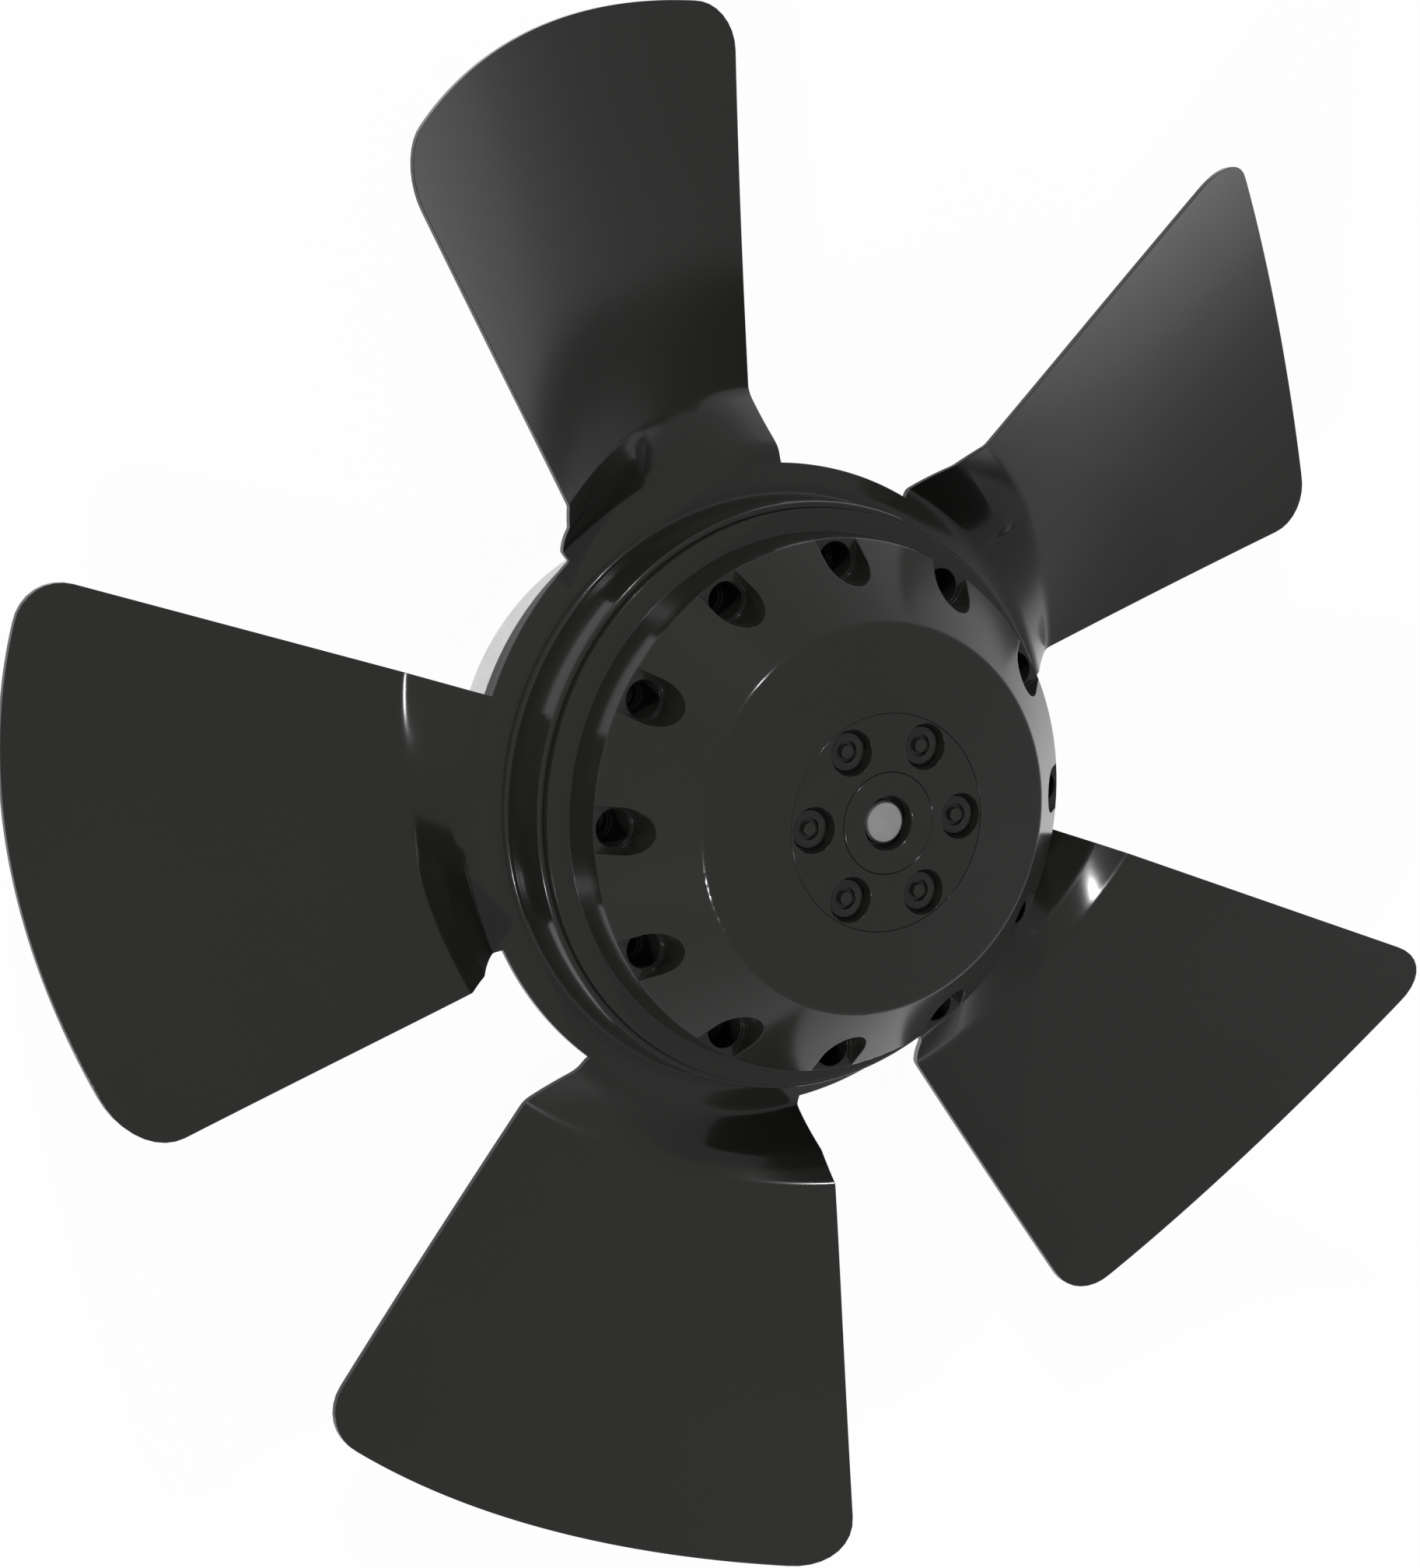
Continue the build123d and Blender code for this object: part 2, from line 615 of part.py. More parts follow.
def main():
    os.makedirs("parts", exist_ok=True)
    rear, front = REAR_BEARING_Z, FRONT_BEARING_Z
    save("impeller", impeller())
    save("rotor_bell", rotor_bell())
    save("rotor_core", rotor_core())
    save("hub_disc", hub_disc())
    save("hub_bush", hub_bush())
    save("hub_rivets", *hub_rivets())
    save("shaft", shaft())
    save("shaft_circlip", shaft_circlip())
    save("shaft_washer", shaft_washer())
    save("spacer_sleeve", spacer_sleeve())
    for name, bottom in (("front", front), ("rear", rear)):
        save(f"{name}_bearing_inner_ring", race(INNER_RACE, SHAFT_RADIUS, True, bottom))
        save(f"{name}_bearing_outer_ring", race(BEARING_RADIUS, OUTER_RACE, True, bottom))
        save(f"{name}_bearing_balls", *balls(bottom))
        save(f"{name}_bearing_shields", *shields(bottom))
    save("preload_spring", preload_spring())
    save("bearing_snap_ring", bearing_snap_ring())
    save("stator_core", stator_core())
    save("insulator_front", insulator(STACK_TOP_Z))
    save("insulator_rear", insulator(STACK_BOTTOM_Z - INSULATOR))
    save("winding_coils", *winding_coils())
    save("stator_flange", stator_flange())
    save("rear_cap", rear_cap())
    save("lead_grommet", lead_grommet())
    save("thermal_protector", thermal_protector())


main()
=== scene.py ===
"""Looks of the axial fan impeller: paint, metal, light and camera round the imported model."""
import math
import bmesh
import bpy
from mathutils import Matrix, Vector


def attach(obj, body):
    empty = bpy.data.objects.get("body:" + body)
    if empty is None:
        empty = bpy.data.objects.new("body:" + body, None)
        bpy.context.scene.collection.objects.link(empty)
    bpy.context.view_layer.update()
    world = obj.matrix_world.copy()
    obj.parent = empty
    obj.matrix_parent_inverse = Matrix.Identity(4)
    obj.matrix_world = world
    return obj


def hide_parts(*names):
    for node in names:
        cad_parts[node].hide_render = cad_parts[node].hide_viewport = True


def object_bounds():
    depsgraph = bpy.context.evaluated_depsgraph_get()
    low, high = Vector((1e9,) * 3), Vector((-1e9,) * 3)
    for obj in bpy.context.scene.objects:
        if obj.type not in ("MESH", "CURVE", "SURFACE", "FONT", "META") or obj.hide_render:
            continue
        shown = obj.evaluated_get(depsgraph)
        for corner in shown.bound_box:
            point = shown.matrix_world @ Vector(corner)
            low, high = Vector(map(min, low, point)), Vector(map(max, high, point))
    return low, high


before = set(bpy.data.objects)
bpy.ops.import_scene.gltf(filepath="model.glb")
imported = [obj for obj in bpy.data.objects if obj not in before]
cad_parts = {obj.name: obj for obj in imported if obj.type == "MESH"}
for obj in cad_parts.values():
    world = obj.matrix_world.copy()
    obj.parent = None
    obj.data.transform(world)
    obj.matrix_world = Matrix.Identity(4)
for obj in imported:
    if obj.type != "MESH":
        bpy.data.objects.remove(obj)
cad_low, cad_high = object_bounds()
MM = 0.001

# ---- camera: a long lens above the hub, off to one side ----
AIM = Vector((36.9, -10.2, 84.0)) * MM
CAMERA_DISTANCE = 643.1 * MM
CAMERA_AZIMUTH = -19.46       # degrees round +Z
CAMERA_ELEVATION = 59.66
CAMERA_ROLL = 107.04
LENS = 83.53                  # millimetres on a 36 mm frame
FLOOR_WHITE = 0.97            # share of plain white in the floor; the rest takes the shadow
SKY_HORIZON = 0.84            # what glossy surfaces see at the horizon and overhead
SKY_OVERHEAD = 0.6
SKY_BLEND = (0.0, 0.25)       # heights of direction between which one passes into the other
SKY_DIFFUSE = 0.5             # what matt surfaces see of it
FLOOR_RADIUS = 3.0            # metres
FLOOR_GAP = 0.0002            # the floor lies this far under the rear face
SPARKS = ((34, 35), (-68, 35))    # azimuth and elevation of the small lamps
SPARK_DISTANCE = 1.5          # metres
SPARK_SIZE = 0.05
SPARK_POWER = 8.0             # watts
SHARP_ANGLE = 28.0            # degrees between facets above which an edge stays sharp


# ---- impeller: one pressed sheet, in millimetres and degrees, as in the part's source ----
SHEET = 1.2
BLADES = 5
TIP_RADIUS = 150.0
BLADE_PITCH = 25.8
BLADE_ROOT_Z = 40.1
BLADE_MIDDLE_Z = 37.85
BLADE_TIP_Z = 37.3
ROOT_CAMBER = 0.36
TIP_CAMBER = 11.2
CAMBER_ANGLE = 20.0
ROOT_RADIUS = 74.6
ROOT_STATION = 70.0
TIP_STATION = 133.0
RAISED_HALVES = (29.7, 46.4)  # half widths at the root and tip stations
LOW_HALVES = (25.3, 45.0)
TIP_ARC = 121.3
RAISED_CORNER = 10.7
LOW_CORNER = 9.1
RING_EDGE = 62.4
RING_EDGE_Z = 40.3
RING_FALL = 0.25
BELL_RADIUS = 55.0
COLLAR_TOP_Z = 54.0
COLLAR_FOOT_Z = 42.4
COLLAR_TAPER = 0.45
RING_STEP = 58.3
RING_STATIONS = (61.5, 60.5, 59.6)    # radii at which the ring's slope has points
# The folds and the lip are short curves, given as points. The ring's fold: out from its step and
# below the collar's foot. The collar's fold: out from its wall and above its foot. The lip: in from
# the wall and below the collar's top.
RING_FOLD = ((0.8, 0.42), (0.4, 0.25), (0.0, 0.12), (-0.4, 0.03), (-0.8, 0.0))
COLLAR_FOLD = ((1.05, 0.03), (0.8, 0.12), (0.58, 0.33), (0.45, 0.6), (0.4, 1.0))
COLLAR_LIP = ((0.0, 0.6), (0.06, 0.3), (0.2, 0.1), (0.45, 0.0))
COLLAR_WALL = ((0.75, 3.0), (0.3, 7.8))    # share of the taper left, and height above the foot
COLLAR_FIT = 0.02             # the collar stands this far off the bell
COLLAR_BACK_Z = 48.0          # height of a point half way up the collar's back
RING_SLOPE = (COLLAR_FOOT_Z - RING_EDGE_Z) / (RING_EDGE - RING_STEP)
LOW_RAMP = (65.4, 75.2)       # from the ring to the blade, on the low side: one soft ramp
LOW_FOLD = 1.3                # half length of the curve at either end of it
RAISED_RAMP = (64.3, 70.9, 76.2)   # on the raised side: a steep facet, then a shallow one
RAISED_SHARE = 0.72           # share of the rise that the steep facet takes
RAISED_FOLD = 0.35
FACET_ANGLES = (4.6, 6.6)     # where the soft ramp gives way to the facets
FAN_RADIUS = 79.0             # rows of the mesh are arcs up to here, and then fan out to the tip
ROOT_ROWS = 34
FAN_ROWS = 30
COLUMNS = 60                  # across a blade
GAP_COLUMNS = 18              # across the ring between two blades
CORNER_STEPS = 40
TIP_STEPS = 160
SHEET_SHARP_ANGLE = 40.0


# ---- node helpers ----
def new_material(name):
    """A new node material, with its tree and its Principled shader."""
    material = bpy.data.materials.new(name)
    material.use_nodes = True
    tree = material.node_tree
    return material, tree, tree.nodes["Principled BSDF"]


def add(tree, kind, **settings):
    """One node, with its settings and the values of its inputs."""
    node = tree.nodes.new(kind)
    for key, value in settings.items():
        if key in node.inputs:
            node.inputs[key].default_value = value
        else:
            setattr(node, key, value)
    return node


def noise(tree, scale, detail):
    """Noise in the object's own space, in cells per metre."""
    place = add(tree, "ShaderNodeTexCoord")
    node = add(tree, "ShaderNodeTexNoise", Scale=scale, Detail=detail)
    tree.links.new(place.outputs["Object"], node.inputs["Vector"])
    return node


def spread(tree, source, low, high, start=0.0, end=1.0):
    """Maps a value from start..end to low..high."""
    node = add(tree, "ShaderNodeMapRange")
    node.inputs["From Min"].default_value = start
    node.inputs["From Max"].default_value = end
    node.inputs["To Min"].default_value = low
    node.inputs["To Max"].default_value = high
    tree.links.new(source, node.inputs["Value"])
    return node.outputs["Result"]


def blend(tree, factor, first, second):
    """A colour that passes from the first to the second as the factor goes from 0 to 1."""
    node = add(tree, "ShaderNodeMix", data_type="RGBA")
    node.inputs["A"].default_value = (*first, 1)
    node.inputs["B"].default_value = (*second, 1)
    tree.links.new(factor, node.inputs["Factor"])
    return node.outputs["Result"]


def shaded(colour, share):
    """A colour made darker or lighter by a share, no channel above 1."""
    return [min(channel * share, 1) for channel in colour]


def direction(azimuth, elevation):
    """Unit vector towards an azimuth and an elevation in degrees."""
    a, e = math.radians(azimuth), math.radians(elevation)
    return Vector((math.cos(a) * math.cos(e), math.sin(a) * math.cos(e), math.sin(e)))


def bump(tree, shader, height, distance, strength):
    """Bump from a height in 0..1, distance in metres."""
    node = add(tree, "ShaderNodeBump", Strength=strength, Distance=distance)
    tree.links.new(height, node.inputs["Height"])
    tree.links.new(node.outputs["Normal"], shader.inputs["Normal"])
    return node


# ---- impeller mesh ----
def rounded_step(x, start, end, half):
    """0 to 1 in a straight line from start to end, with a curve of the given half length at each."""
    def bent(d):
        return (d + half) ** 2 / (4 * half) if abs(d) < half else max(d, 0.0)
    return (bent(x - start) - bent(x - end)) / (end - start)


def blade_height(radius, angle):
    """Top of a blade: pitch across its width, and a dish that grows towards the tip."""
    middle = (ROOT_RADIUS + TIP_RADIUS) / 2
    v = (radius - middle) / (TIP_RADIUS - middle)
    slope = (BLADE_TIP_Z - BLADE_ROOT_Z) / 2
    bend = (BLADE_TIP_Z + BLADE_ROOT_Z) / 2 - BLADE_MIDDLE_Z
    centre = BLADE_MIDDLE_Z + slope * v + bend * v * v
    share = (radius - ROOT_RADIUS) / (TIP_RADIUS - ROOT_RADIUS)
    camber = ROOT_CAMBER + (TIP_CAMBER - ROOT_CAMBER) * share
    rise = radius * math.radians(angle) * math.tan(math.radians(BLADE_PITCH))
    return centre + rise + camber * (angle / CAMBER_ANGLE) ** 2


def sheet_height(radius, angle):
    """Top of the sheet from the ring's edge outward."""
    out = radius - RING_EDGE
    ring = RING_EDGE_Z - RING_FALL * out - (RING_SLOPE - RING_FALL) * (1 - math.exp(-out))
    soft = rounded_step(radius, *LOW_RAMP, LOW_FOLD)
    foot, knee, end = RAISED_RAMP
    steep = rounded_step(radius, foot, knee, RAISED_FOLD)
    shallow = rounded_step(radius, knee, end, RAISED_FOLD)
    facets = RAISED_SHARE * steep + (1 - RAISED_SHARE) * shallow
    low, high = FACET_ANGLES
    mix = rounded_step(angle, low, high, (high - low) / 3)
    share = soft + (facets - soft) * min(max(mix, 0.0), 1.0)
    return ring + (blade_height(radius, angle) - ring) * share


def edge_line(halves):
    """A straight edge as y = offset + slope x, taken as positive on both sides."""
    slope = (halves[1] - halves[0]) / (TIP_STATION - ROOT_STATION)
    return halves[0] - slope * ROOT_STATION, slope


def edge_angle(radius, halves):
    """Angle from the centre line at which a straight edge crosses a radius."""
    offset, slope = edge_line(halves)
    square = 1 + slope * slope
    x = (math.sqrt(radius * radius * square - offset * offset) - slope * offset) / square
    return math.degrees(math.atan2(offset + slope * x, x))


def corner_round(halves, size):
    """Centre of a tip corner, and the directions (degrees) in which its arc starts and ends."""
    offset, slope = edge_line(halves)
    length = math.hypot(1, slope)
    arc_x = TIP_RADIUS - TIP_ARC
    # The corner's centre is on the inner parallel of the edge, measured from the tip arc's centre.
    base = offset - size * length + slope * arc_x
    square = 1 + slope * slope
    reach = (TIP_ARC - size) ** 2
    x = (math.sqrt(reach * square - base * base) - slope * base) / square
    y = base + slope * x
    start = math.degrees(math.atan2(y, x))
    end = 90 + math.degrees(math.atan(slope))
    return (arc_x + x, y), start, end


def tip_curve(count):
    """Points along the tip's outline, from the low edge to the raised one, evenly spaced."""
    fine = []
    (x, y), start, end = corner_round(LOW_HALVES, LOW_CORNER)
    for i in range(CORNER_STEPS + 1):
        a = math.radians(end + (start - end) * i / CORNER_STEPS)
        fine.append((x + LOW_CORNER * math.cos(a), -y - LOW_CORNER * math.sin(a)))
    low_end = -start
    (x, y), start, end = corner_round(RAISED_HALVES, RAISED_CORNER)
    for i in range(1, TIP_STEPS):
        a = math.radians(low_end + (start - low_end) * i / TIP_STEPS)
        fine.append((TIP_RADIUS - TIP_ARC + TIP_ARC * math.cos(a), TIP_ARC * math.sin(a)))
    for i in range(CORNER_STEPS + 1):
        a = math.radians(start + (end - start) * i / CORNER_STEPS)
        fine.append((x + RAISED_CORNER * math.cos(a), y + RAISED_CORNER * math.sin(a)))
    return evenly(fine, count)


def between(a, b, part):
    """The point that lies a part of the way from one (x, y) point to another."""
    return a[0] + (b[0] - a[0]) * part, a[1] + (b[1] - a[1]) * part


def evenly(line, count):
    """Points at equal steps along a line of (x, y) points."""
    along = [0.0]
    for a, b in zip(line, line[1:]):
        along.append(along[-1] + math.dist(a, b))
    result = []
    at = 0
    for i in range(count + 1):
        want = along[-1] * i / count
        while at < len(line) - 2 and along[at + 1] < want:
            at += 1
        part = (want - along[at]) / (along[at + 1] - along[at])
        result.append(between(line[at], line[at + 1], part))
    return result


def blade_rows():
    """Plan of one blade: rows of (x, y) points from the ring's edge to the tip."""
    rows = []
    for i in range(ROOT_ROWS + 1):
        radius = RING_EDGE + (FAN_RADIUS - RING_EDGE) * i / ROOT_ROWS
        low, high = -edge_angle(radius, LOW_HALVES), edge_angle(radius, RAISED_HALVES)
        angles = [math.radians(low + (high - low) * c / COLUMNS) for c in range(COLUMNS + 1)]
        rows.append([(radius * math.cos(a), radius * math.sin(a)) for a in angles])
    first, last = rows[-1], tip_curve(COLUMNS)
    for i in range(1, FAN_ROWS + 1):
        rows.append([between(a, b, i / FAN_ROWS) for a, b in zip(first, last)])
    return rows


def ring_profile():
    """Closed (radius, height) outline of collar and ring; the first two points are its outer edge."""
    outer = BELL_RADIUS + SHEET
    inner = BELL_RADIUS + COLLAR_FIT
    land_under = COLLAR_FOOT_Z - SHEET
    edge = [(RING_EDGE, RING_EDGE_Z - SHEET), (RING_EDGE, RING_EDGE_Z)]
    slope = [(r, RING_EDGE_Z + RING_SLOPE * (RING_EDGE - r)) for r in RING_STATIONS]
    fold = [(RING_STEP + out, COLLAR_FOOT_Z - drop) for out, drop in RING_FOLD]
    foot = [(outer + out, COLLAR_FOOT_Z + rise) for out, rise in COLLAR_FOLD]
    wall = [(outer + COLLAR_TAPER * share, COLLAR_FOOT_Z + rise) for share, rise in COLLAR_WALL]
    lip = [(outer - inward, COLLAR_TOP_Z - drop) for inward, drop in COLLAR_LIP]
    back = [(inner, COLLAR_TOP_Z), (inner, COLLAR_BACK_Z), (inner, land_under)]
    return edge + slope + fold + foot + wall + lip + back + [(RING_STEP, land_under)]


def new_point(verts, x, y, z, turn):
    """Adds a point in millimetres, turned about the axis, and returns its number."""
    c, s = math.cos(turn), math.sin(turn)
    verts.append((MM * (x * c - y * s), MM * (x * s + y * c), MM * z))
    return len(verts) - 1


def ring_skin(verts, faces):
    """Collar and ring, open where the blades join; returns the columns of point numbers round it."""
    low, high = -edge_angle(RING_EDGE, LOW_HALVES), edge_angle(RING_EDGE, RAISED_HALVES)
    step = 360 / BLADES
    angles = [low + (high - low) * c / COLUMNS for c in range(COLUMNS)]
    angles += [high + (low + step - high) * g / GAP_COLUMNS for g in range(GAP_COLUMNS)]
    profile = ring_profile()
    ring = []
    for blade in range(BLADES):
        for angle in angles:
            turn = math.radians(angle + step * blade)
            ring.append([new_point(verts, r, 0, z, turn) for r, z in profile])
    for j, here in enumerate(ring):
        there = ring[(j + 1) % len(ring)]
        at_root = j % len(angles) < COLUMNS
        for p in range(1 if at_root else 0, len(profile)):
            q = (p + 1) % len(profile)
            faces.append((here[p], there[p], there[q], here[q]))
    return ring


def blade_skin(verts, faces, rows, root, turn):
    """Both sides and the three free edges of a blade that grows from the root's columns."""
    thick = SHEET / math.cos(math.radians(BLADE_PITCH))
    top = [[column[1] for column in root]]
    under = [[column[0] for column in root]]
    for row in rows[1:]:
        heights = [sheet_height(math.hypot(x, y), math.degrees(math.atan2(y, x))) for x, y in row]
        top.append([new_point(verts, x, y, z, turn) for (x, y), z in zip(row, heights)])
        under.append([new_point(verts, x, y, z - thick, turn) for (x, y), z in zip(row, heights)])
    for i in range(len(top) - 1):
        a, b, c, d = top[i], top[i + 1], under[i], under[i + 1]
        for k in range(COLUMNS):
            faces.append((a[k], b[k], b[k + 1], a[k + 1]))
            faces.append((c[k], c[k + 1], d[k + 1], d[k]))
        faces.append((a[0], c[0], d[0], b[0]))
        faces.append((a[-1], b[-1], d[-1], c[-1]))
    for k in range(COLUMNS):
        faces.append((top[-1][k], under[-1][k], under[-1][k + 1], top[-1][k + 1]))


def impeller_mesh():
    """Ring and five blades as one closed skin."""
    verts, faces = [], []
    rows = blade_rows()
    ring = ring_skin(verts, faces)
    for blade in range(BLADES):
        first = blade * (COLUMNS + GAP_COLUMNS)
        root = [ring[(first + c) % len(ring)] for c in range(COLUMNS + 1)]
        blade_skin(verts, faces, rows, root, math.radians(360 / BLADES * blade))
    mesh = bpy.data.meshes.new("impeller_sheet")
    mesh.from_pydata(verts, [], faces)
    mesh.shade_smooth()
    mesh.set_sharp_from_angle(angle=math.radians(SHEET_SHARP_ANGLE))
    return mesh


def impeller(material):
    """The impeller's own fine skin, in place of the solid's coarser facets."""
    item = bpy.data.objects.new("impeller_sheet", impeller_mesh())
    bpy.context.scene.collection.objects.link(item)
    item.data.materials.append(material)
    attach(item, "rotor")
    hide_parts("impeller")


# ---- materials ----
PAINT = 0.0155                # tone of the black paint
PAINT_ROUGHNESS = (0.14, 0.19)


def black_paint(name, edge):
    """Satin black stove paint: faint orange peel, and edges rounded by a radius in millimetres."""
    material, tree, shader = new_material(name)
    patches = noise(tree, 35.0, detail=3.0)
    dark = (0.93 * PAINT, 0.93 * PAINT, 0.85 * PAINT)
    light = (1.07 * PAINT, 1.07 * PAINT, 0.98 * PAINT)
    colour = blend(tree, patches.outputs["Fac"], dark, light)
    tree.links.new(colour, shader.inputs["Base Color"])
    grain = noise(tree, 900.0, detail=2.0)
    roughness = spread(tree, grain.outputs["Fac"], *PAINT_ROUGHNESS)
    tree.links.new(roughness, shader.inputs["Roughness"])
    shader.inputs["Specular IOR Level"].default_value = 0.3
    soft_edge = add(tree, "ShaderNodeBevel", samples=6, Radius=edge * MM)
    peel = noise(tree, 700.0, detail=1.0)
    grained = bump(tree, shader, peel.outputs["Fac"], 0.00001, 0.2)
    tree.links.new(soft_edge.outputs["Normal"], grained.inputs["Normal"])
    return material


def metal(name, colour, roughness):
    """Bare metal with a fine uneven surface."""
    material, tree, shader = new_material(name)
    shader.inputs["Metallic"].default_value = 1.0
    grain = noise(tree, 400.0, detail=4.0)
    mixed = blend(tree, grain.outputs["Fac"], shaded(colour, 0.85), shaded(colour, 1.1))
    tree.links.new(mixed, shader.inputs["Base Color"])
    uneven = spread(tree, grain.outputs["Fac"], 0.85 * roughness, 1.2 * roughness)
    tree.links.new(uneven, shader.inputs["Roughness"])
    bump(tree, shader, grain.outputs["Fac"], 0.00002, 0.4)
    return material


def laminated(name):
    """Edges of stacked sheets: fine level lines."""
    material, tree, shader = new_material(name)
    shader.inputs["Metallic"].default_value = 1.0
    place = add(tree, "ShaderNodeTexCoord")
    wave = add(tree, "ShaderNodeTexWave", bands_direction="Z", Scale=320.0, Distortion=0.0)
    tree.links.new(place.outputs["Object"], wave.inputs["Vector"])
    mixed = blend(tree, wave.outputs["Fac"], (0.07, 0.07, 0.075), (0.26, 0.26, 0.27))
    tree.links.new(mixed, shader.inputs["Base Color"])
    shader.inputs["Roughness"].default_value = 0.5
    bump(tree, shader, wave.outputs["Fac"], 0.0001, 0.5)
    return material


def plain(name, colour, roughness):
    """Moulded plastic or rubber with a faint grain."""
    material, tree, shader = new_material(name)
    grain = noise(tree, 300.0, detail=3.0)
    mixed = blend(tree, grain.outputs["Fac"], shaded(colour, 0.85), shaded(colour, 1.15))
    tree.links.new(mixed, shader.inputs["Base Color"])
    shader.inputs["Roughness"].default_value = roughness
    bump(tree, shader, grain.outputs["Fac"], 0.00005, 0.5)
    return material


def copper_wire(name):
    """Enamelled wire laid side by side round each coil."""
    material, tree, shader = new_material(name)
    shader.inputs["Metallic"].default_value = 0.8
    place = add(tree, "ShaderNodeTexCoord")
    wave = add(
        tree, "ShaderNodeTexWave",
        wave_type="RINGS", rings_direction="Z", Scale=300.0, Distortion=0.3,
    )
    tree.links.new(place.outputs["Object"], wave.inputs["Vector"])
    mixed = blend(tree, wave.outputs["Fac"], (0.25, 0.06, 0.02), (0.62, 0.24, 0.09))
    tree.links.new(mixed, shader.inputs["Base Color"])
    shader.inputs["Roughness"].default_value = 0.35
    bump(tree, shader, wave.outputs["Fac"], 0.0003, 0.6)
    return material


def dress():
    """Gives every node of the model its material."""
    paint = black_paint("blade_paint", edge=0.25)
    cast_paint = black_paint("bell_paint", edge=0.3)
    cast = metal("cast_aluminium", (0.68, 0.68, 0.69), 0.38)
    steel = metal("ground_steel", (0.6, 0.6, 0.61), 0.32)
    shaft_end = metal("shaft_steel", (0.42, 0.42, 0.43), 0.5)
    sheets = laminated("laminations")
    nylon = plain("insulation", (0.7, 0.67, 0.55), 0.5)
    rubber = plain("rubber", (0.03, 0.03, 0.03), 0.7)
    looks = {
        "impeller": paint,
        "rotor_bell": cast_paint,
        "hub_disc": cast_paint,
        "hub_bush": cast_paint,
        "hub_rivets": cast_paint,
        "shaft": shaft_end,
        "stator_flange": cast,
        "rotor_core": sheets,
        "stator_core": sheets,
        "insulator_front": nylon,
        "insulator_rear": nylon,
        "winding_coils": copper_wire("copper_wire"),
        "lead_grommet": rubber,
        "thermal_protector": plain("switch_case", (0.06, 0.06, 0.06), 0.45),
    }
    for name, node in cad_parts.items():
        node.data.materials.clear()
        node.data.materials.append(looks.get(name, steel))
        node.data.shade_smooth()
        node.data.set_sharp_from_angle(angle=math.radians(SHARP_ANGLE))
    impeller(paint)


# ---- stage ----
def backdrop_material():
    """White floor: plain white to the camera, apart from part of the object's shadow."""
    material, tree, shader = new_material("floor")
    output = tree.nodes["Material Output"]
    shader.inputs["Base Color"].default_value = (0.9, 0.9, 0.9, 1)
    shader.inputs["Roughness"].default_value = 0.9
    shader.inputs["Specular IOR Level"].default_value = 0.1
    white = add(tree, "ShaderNodeEmission", Color=(1, 1, 1, 1), Strength=1.0)
    path = add(tree, "ShaderNodeLightPath")
    seen = add(tree, "ShaderNodeMath", operation="MAXIMUM")
    tree.links.new(path.outputs["Is Camera Ray"], seen.inputs[0])
    tree.links.new(path.outputs["Is Glossy Ray"], seen.inputs[1])
    share = add(tree, "ShaderNodeMath", operation="MULTIPLY")
    share.inputs[1].default_value = FLOOR_WHITE
    tree.links.new(seen.outputs["Value"], share.inputs[0])
    mix = add(tree, "ShaderNodeMixShader")
    tree.links.new(share.outputs["Value"], mix.inputs["Fac"])
    tree.links.new(shader.outputs["BSDF"], mix.inputs[1])
    tree.links.new(white.outputs["Emission"], mix.inputs[2])
    tree.links.new(mix.outputs["Shader"], output.inputs["Surface"])
    return material


def floor():
    """Round pale floor under the fan's rear face."""
    mesh = bpy.data.meshes.new("floor")
    shape = bmesh.new()
    bmesh.ops.create_circle(shape, cap_ends=True, segments=96, radius=FLOOR_RADIUS)
    shape.to_mesh(mesh)
    shape.free()
    item = bpy.data.objects.new("floor", mesh)
    item.location.z = cad_low[2] - FLOOR_GAP
    item.data.materials.append(backdrop_material())
    bpy.context.scene.collection.objects.link(item)


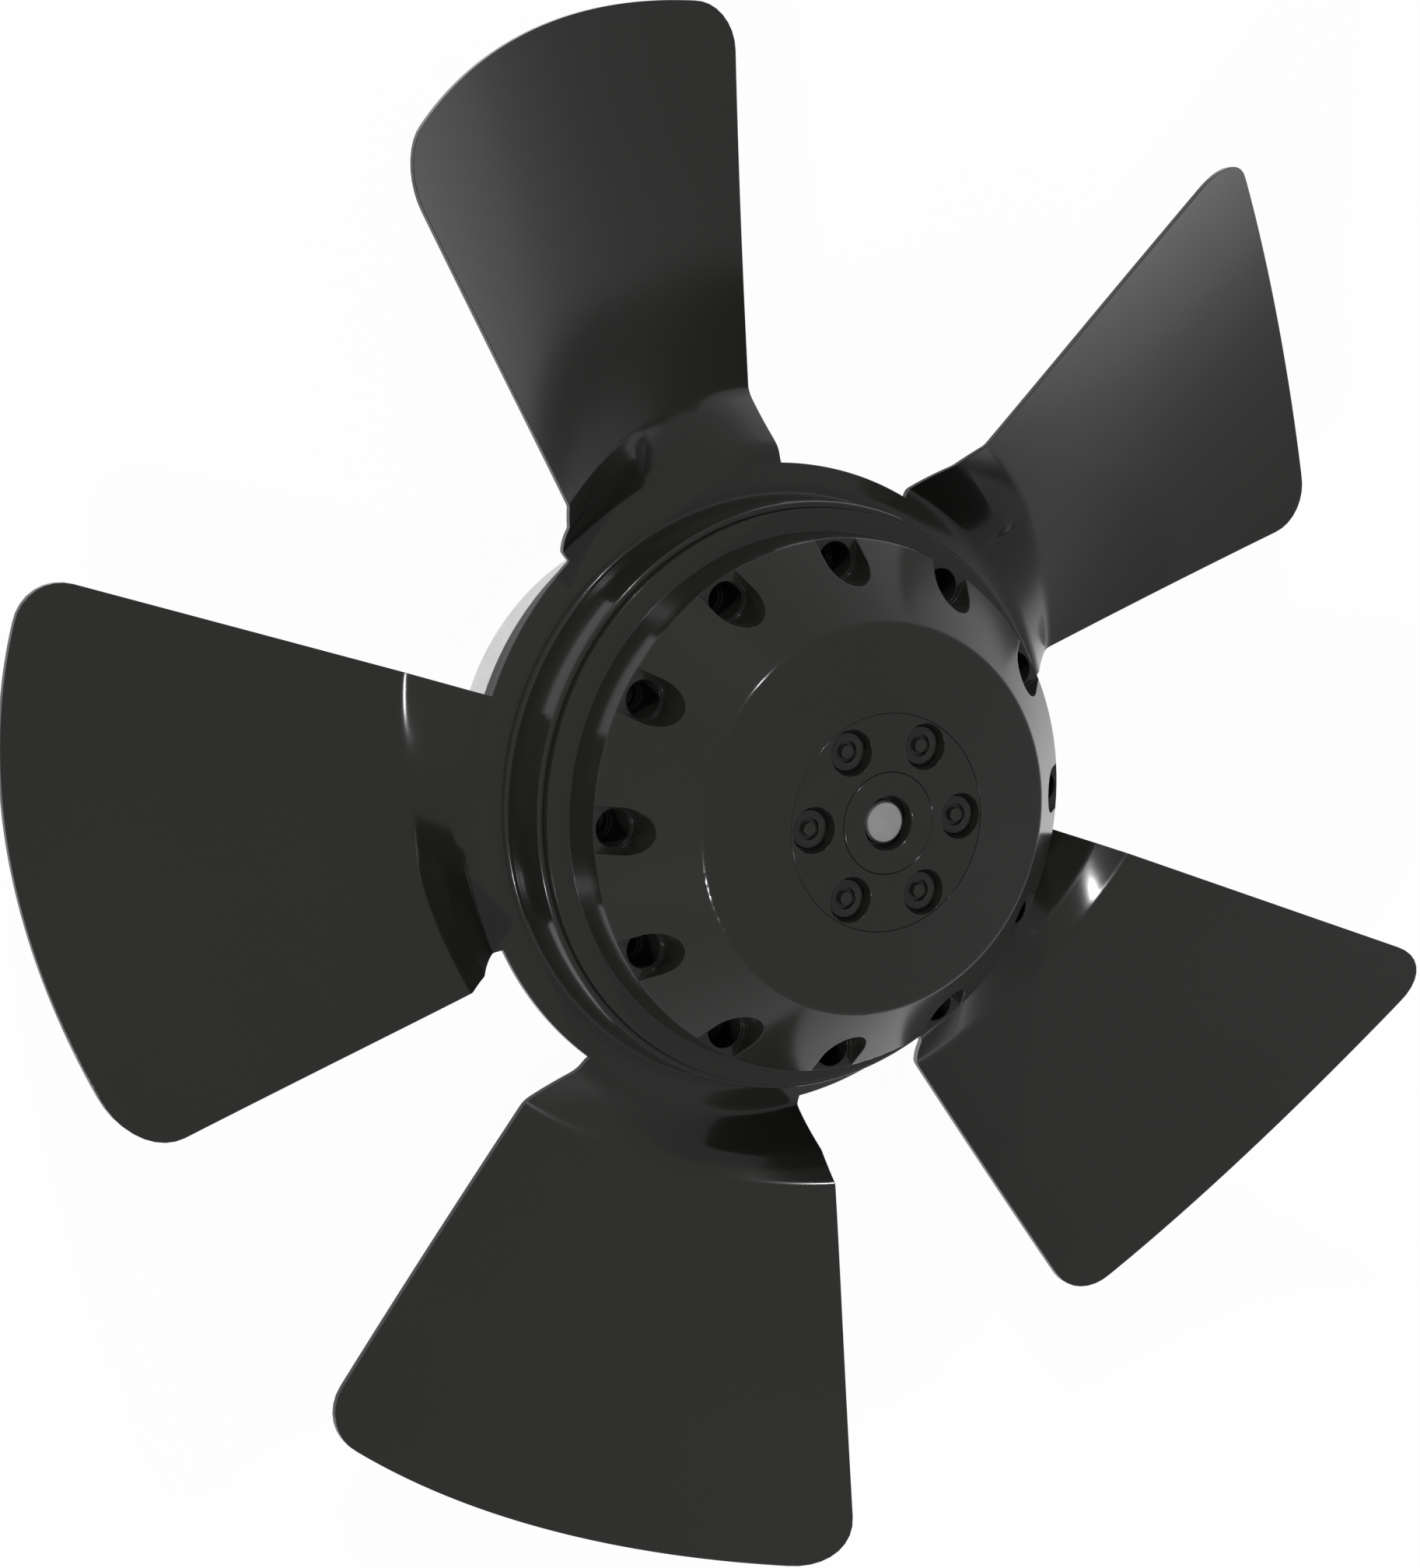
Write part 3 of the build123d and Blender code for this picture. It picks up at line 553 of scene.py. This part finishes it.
def world_light():
    """Soft surroundings: plain white to the camera, white to a glossy surface but softer overhead."""
    world = bpy.data.worlds.new("studio")
    bpy.context.scene.world = world
    world.use_nodes = True
    tree = world.node_tree
    background = tree.nodes["Background"]
    path = add(tree, "ShaderNodeLightPath")
    place = add(tree, "ShaderNodeTexCoord")
    parts = add(tree, "ShaderNodeSeparateXYZ")
    tree.links.new(place.outputs["Generated"], parts.inputs["Vector"])
    glossy = spread(tree, parts.outputs["Z"], SKY_HORIZON, SKY_OVERHEAD, *SKY_BLEND)
    soft = add(tree, "ShaderNodeMix", data_type="FLOAT")
    soft.inputs["A"].default_value = SKY_DIFFUSE
    tree.links.new(path.outputs["Is Glossy Ray"], soft.inputs["Factor"])
    tree.links.new(glossy, soft.inputs["B"])
    strength = add(tree, "ShaderNodeMath", operation="MAXIMUM")
    tree.links.new(path.outputs["Is Camera Ray"], strength.inputs[0])
    tree.links.new(soft.outputs["Result"], strength.inputs[1])
    tree.links.new(strength.outputs["Value"], background.inputs["Strength"])
    background.inputs["Color"].default_value = (1, 1, 1, 1)


def spark(name, azimuth, elevation):
    """A small square lamp that faces the hub."""
    lamp = bpy.data.lights.new(name, "AREA")
    lamp.shape = "RECTANGLE"
    lamp.size = lamp.size_y = SPARK_SIZE
    lamp.energy = SPARK_POWER
    item = bpy.data.objects.new(name, lamp)
    away = direction(azimuth, elevation)
    item.location = AIM + SPARK_DISTANCE * away
    item.rotation_euler = away.to_track_quat("Z", "Y").to_euler()
    bpy.context.scene.collection.objects.link(item)


def camera():
    """The view: a long lens, turned about its own axis."""
    away = direction(CAMERA_AZIMUTH, CAMERA_ELEVATION)
    data = bpy.data.cameras.new("camera")
    data.lens = LENS
    data.sensor_width = 36.0
    data.clip_start = 0.01
    item = bpy.data.objects.new("camera", data)
    item.rotation_mode = "QUATERNION"
    turn = Matrix.Rotation(math.radians(CAMERA_ROLL), 4, "Z").to_quaternion()
    item.rotation_quaternion = away.to_track_quat("Z", "Y") @ turn
    item.location = AIM + CAMERA_DISTANCE * away
    bpy.context.scene.collection.objects.link(item)
    bpy.context.scene.camera = item


camera()
floor()
world_light()
for number, (azimuth, elevation) in enumerate(SPARKS):
    spark(f"spark_{number}", azimuth, elevation)
dress()
bpy.context.scene.view_settings.view_transform = "Standard"
